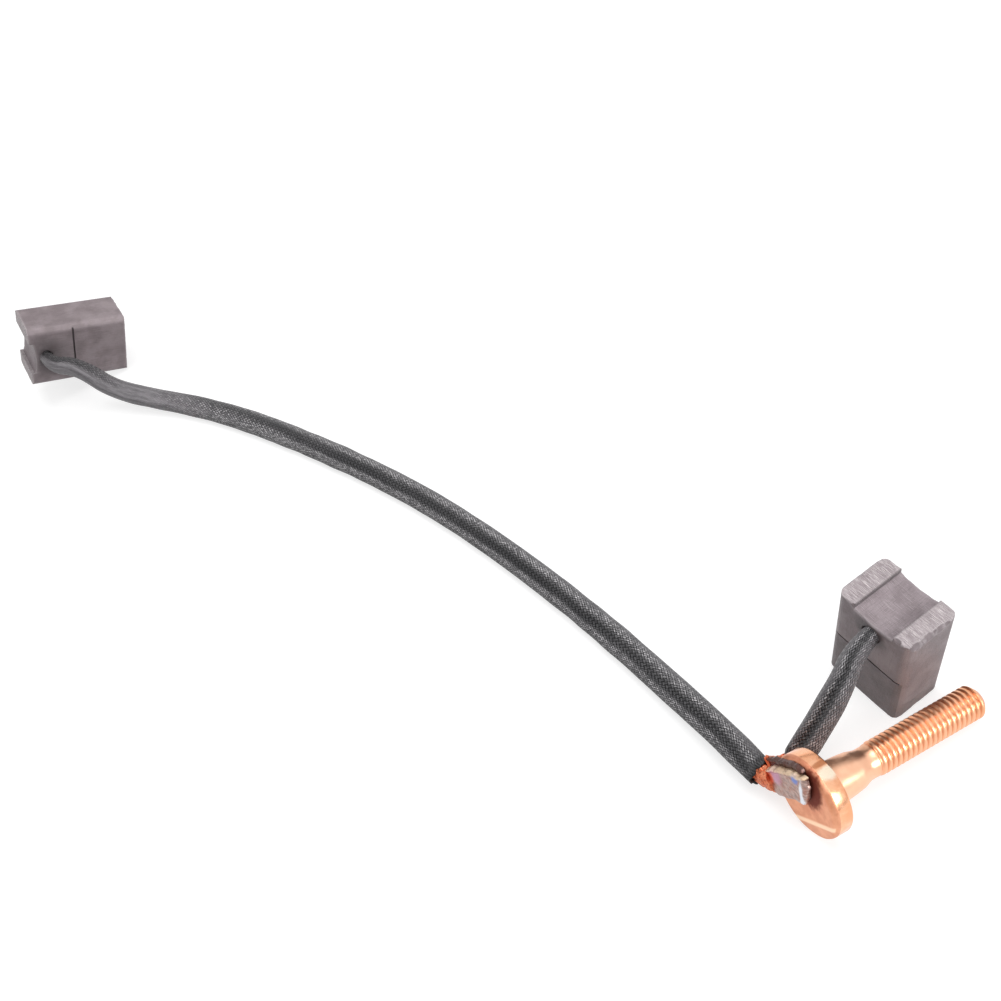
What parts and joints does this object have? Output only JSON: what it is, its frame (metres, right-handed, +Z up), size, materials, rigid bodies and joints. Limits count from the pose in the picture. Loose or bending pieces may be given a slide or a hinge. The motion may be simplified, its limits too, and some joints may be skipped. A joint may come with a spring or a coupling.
{
  "type": "carbon brush pair with terminal bolt",
  "caption": "Grooved copper-carbon brush blocks with sleeved braid leads joined to the head of a copper terminal bolt.",
  "frame": {"origin": "on the ground, under the middle of the box round the two blocks and the bolt", "axes": "+Z up; the pair lies as in the picture, +X to its right and +Y away from the viewer, the bolt pointing mostly along +X"},
  "size_m": [0.2368, 0.2266, 0.0301],
  "materials": {
    "carbon": "satin",
    "braid_copper": "satin",
    "sleeve": "matte",
    "tamp_powder": "matte",
    "bolt_copper": "polished"
  },
  "bodies": {
    "root": {"block_long": "carbon", "block_short": "carbon", "braid_long": "braid_copper", "braid_short": "braid_copper", "sleeve_long": "sleeve", "sleeve_short": "sleeve", "tamp_long": "tamp_powder", "tamp_short": "tamp_powder", "terminal_bolt": "bolt_copper"}
  },
  "joints": []
}
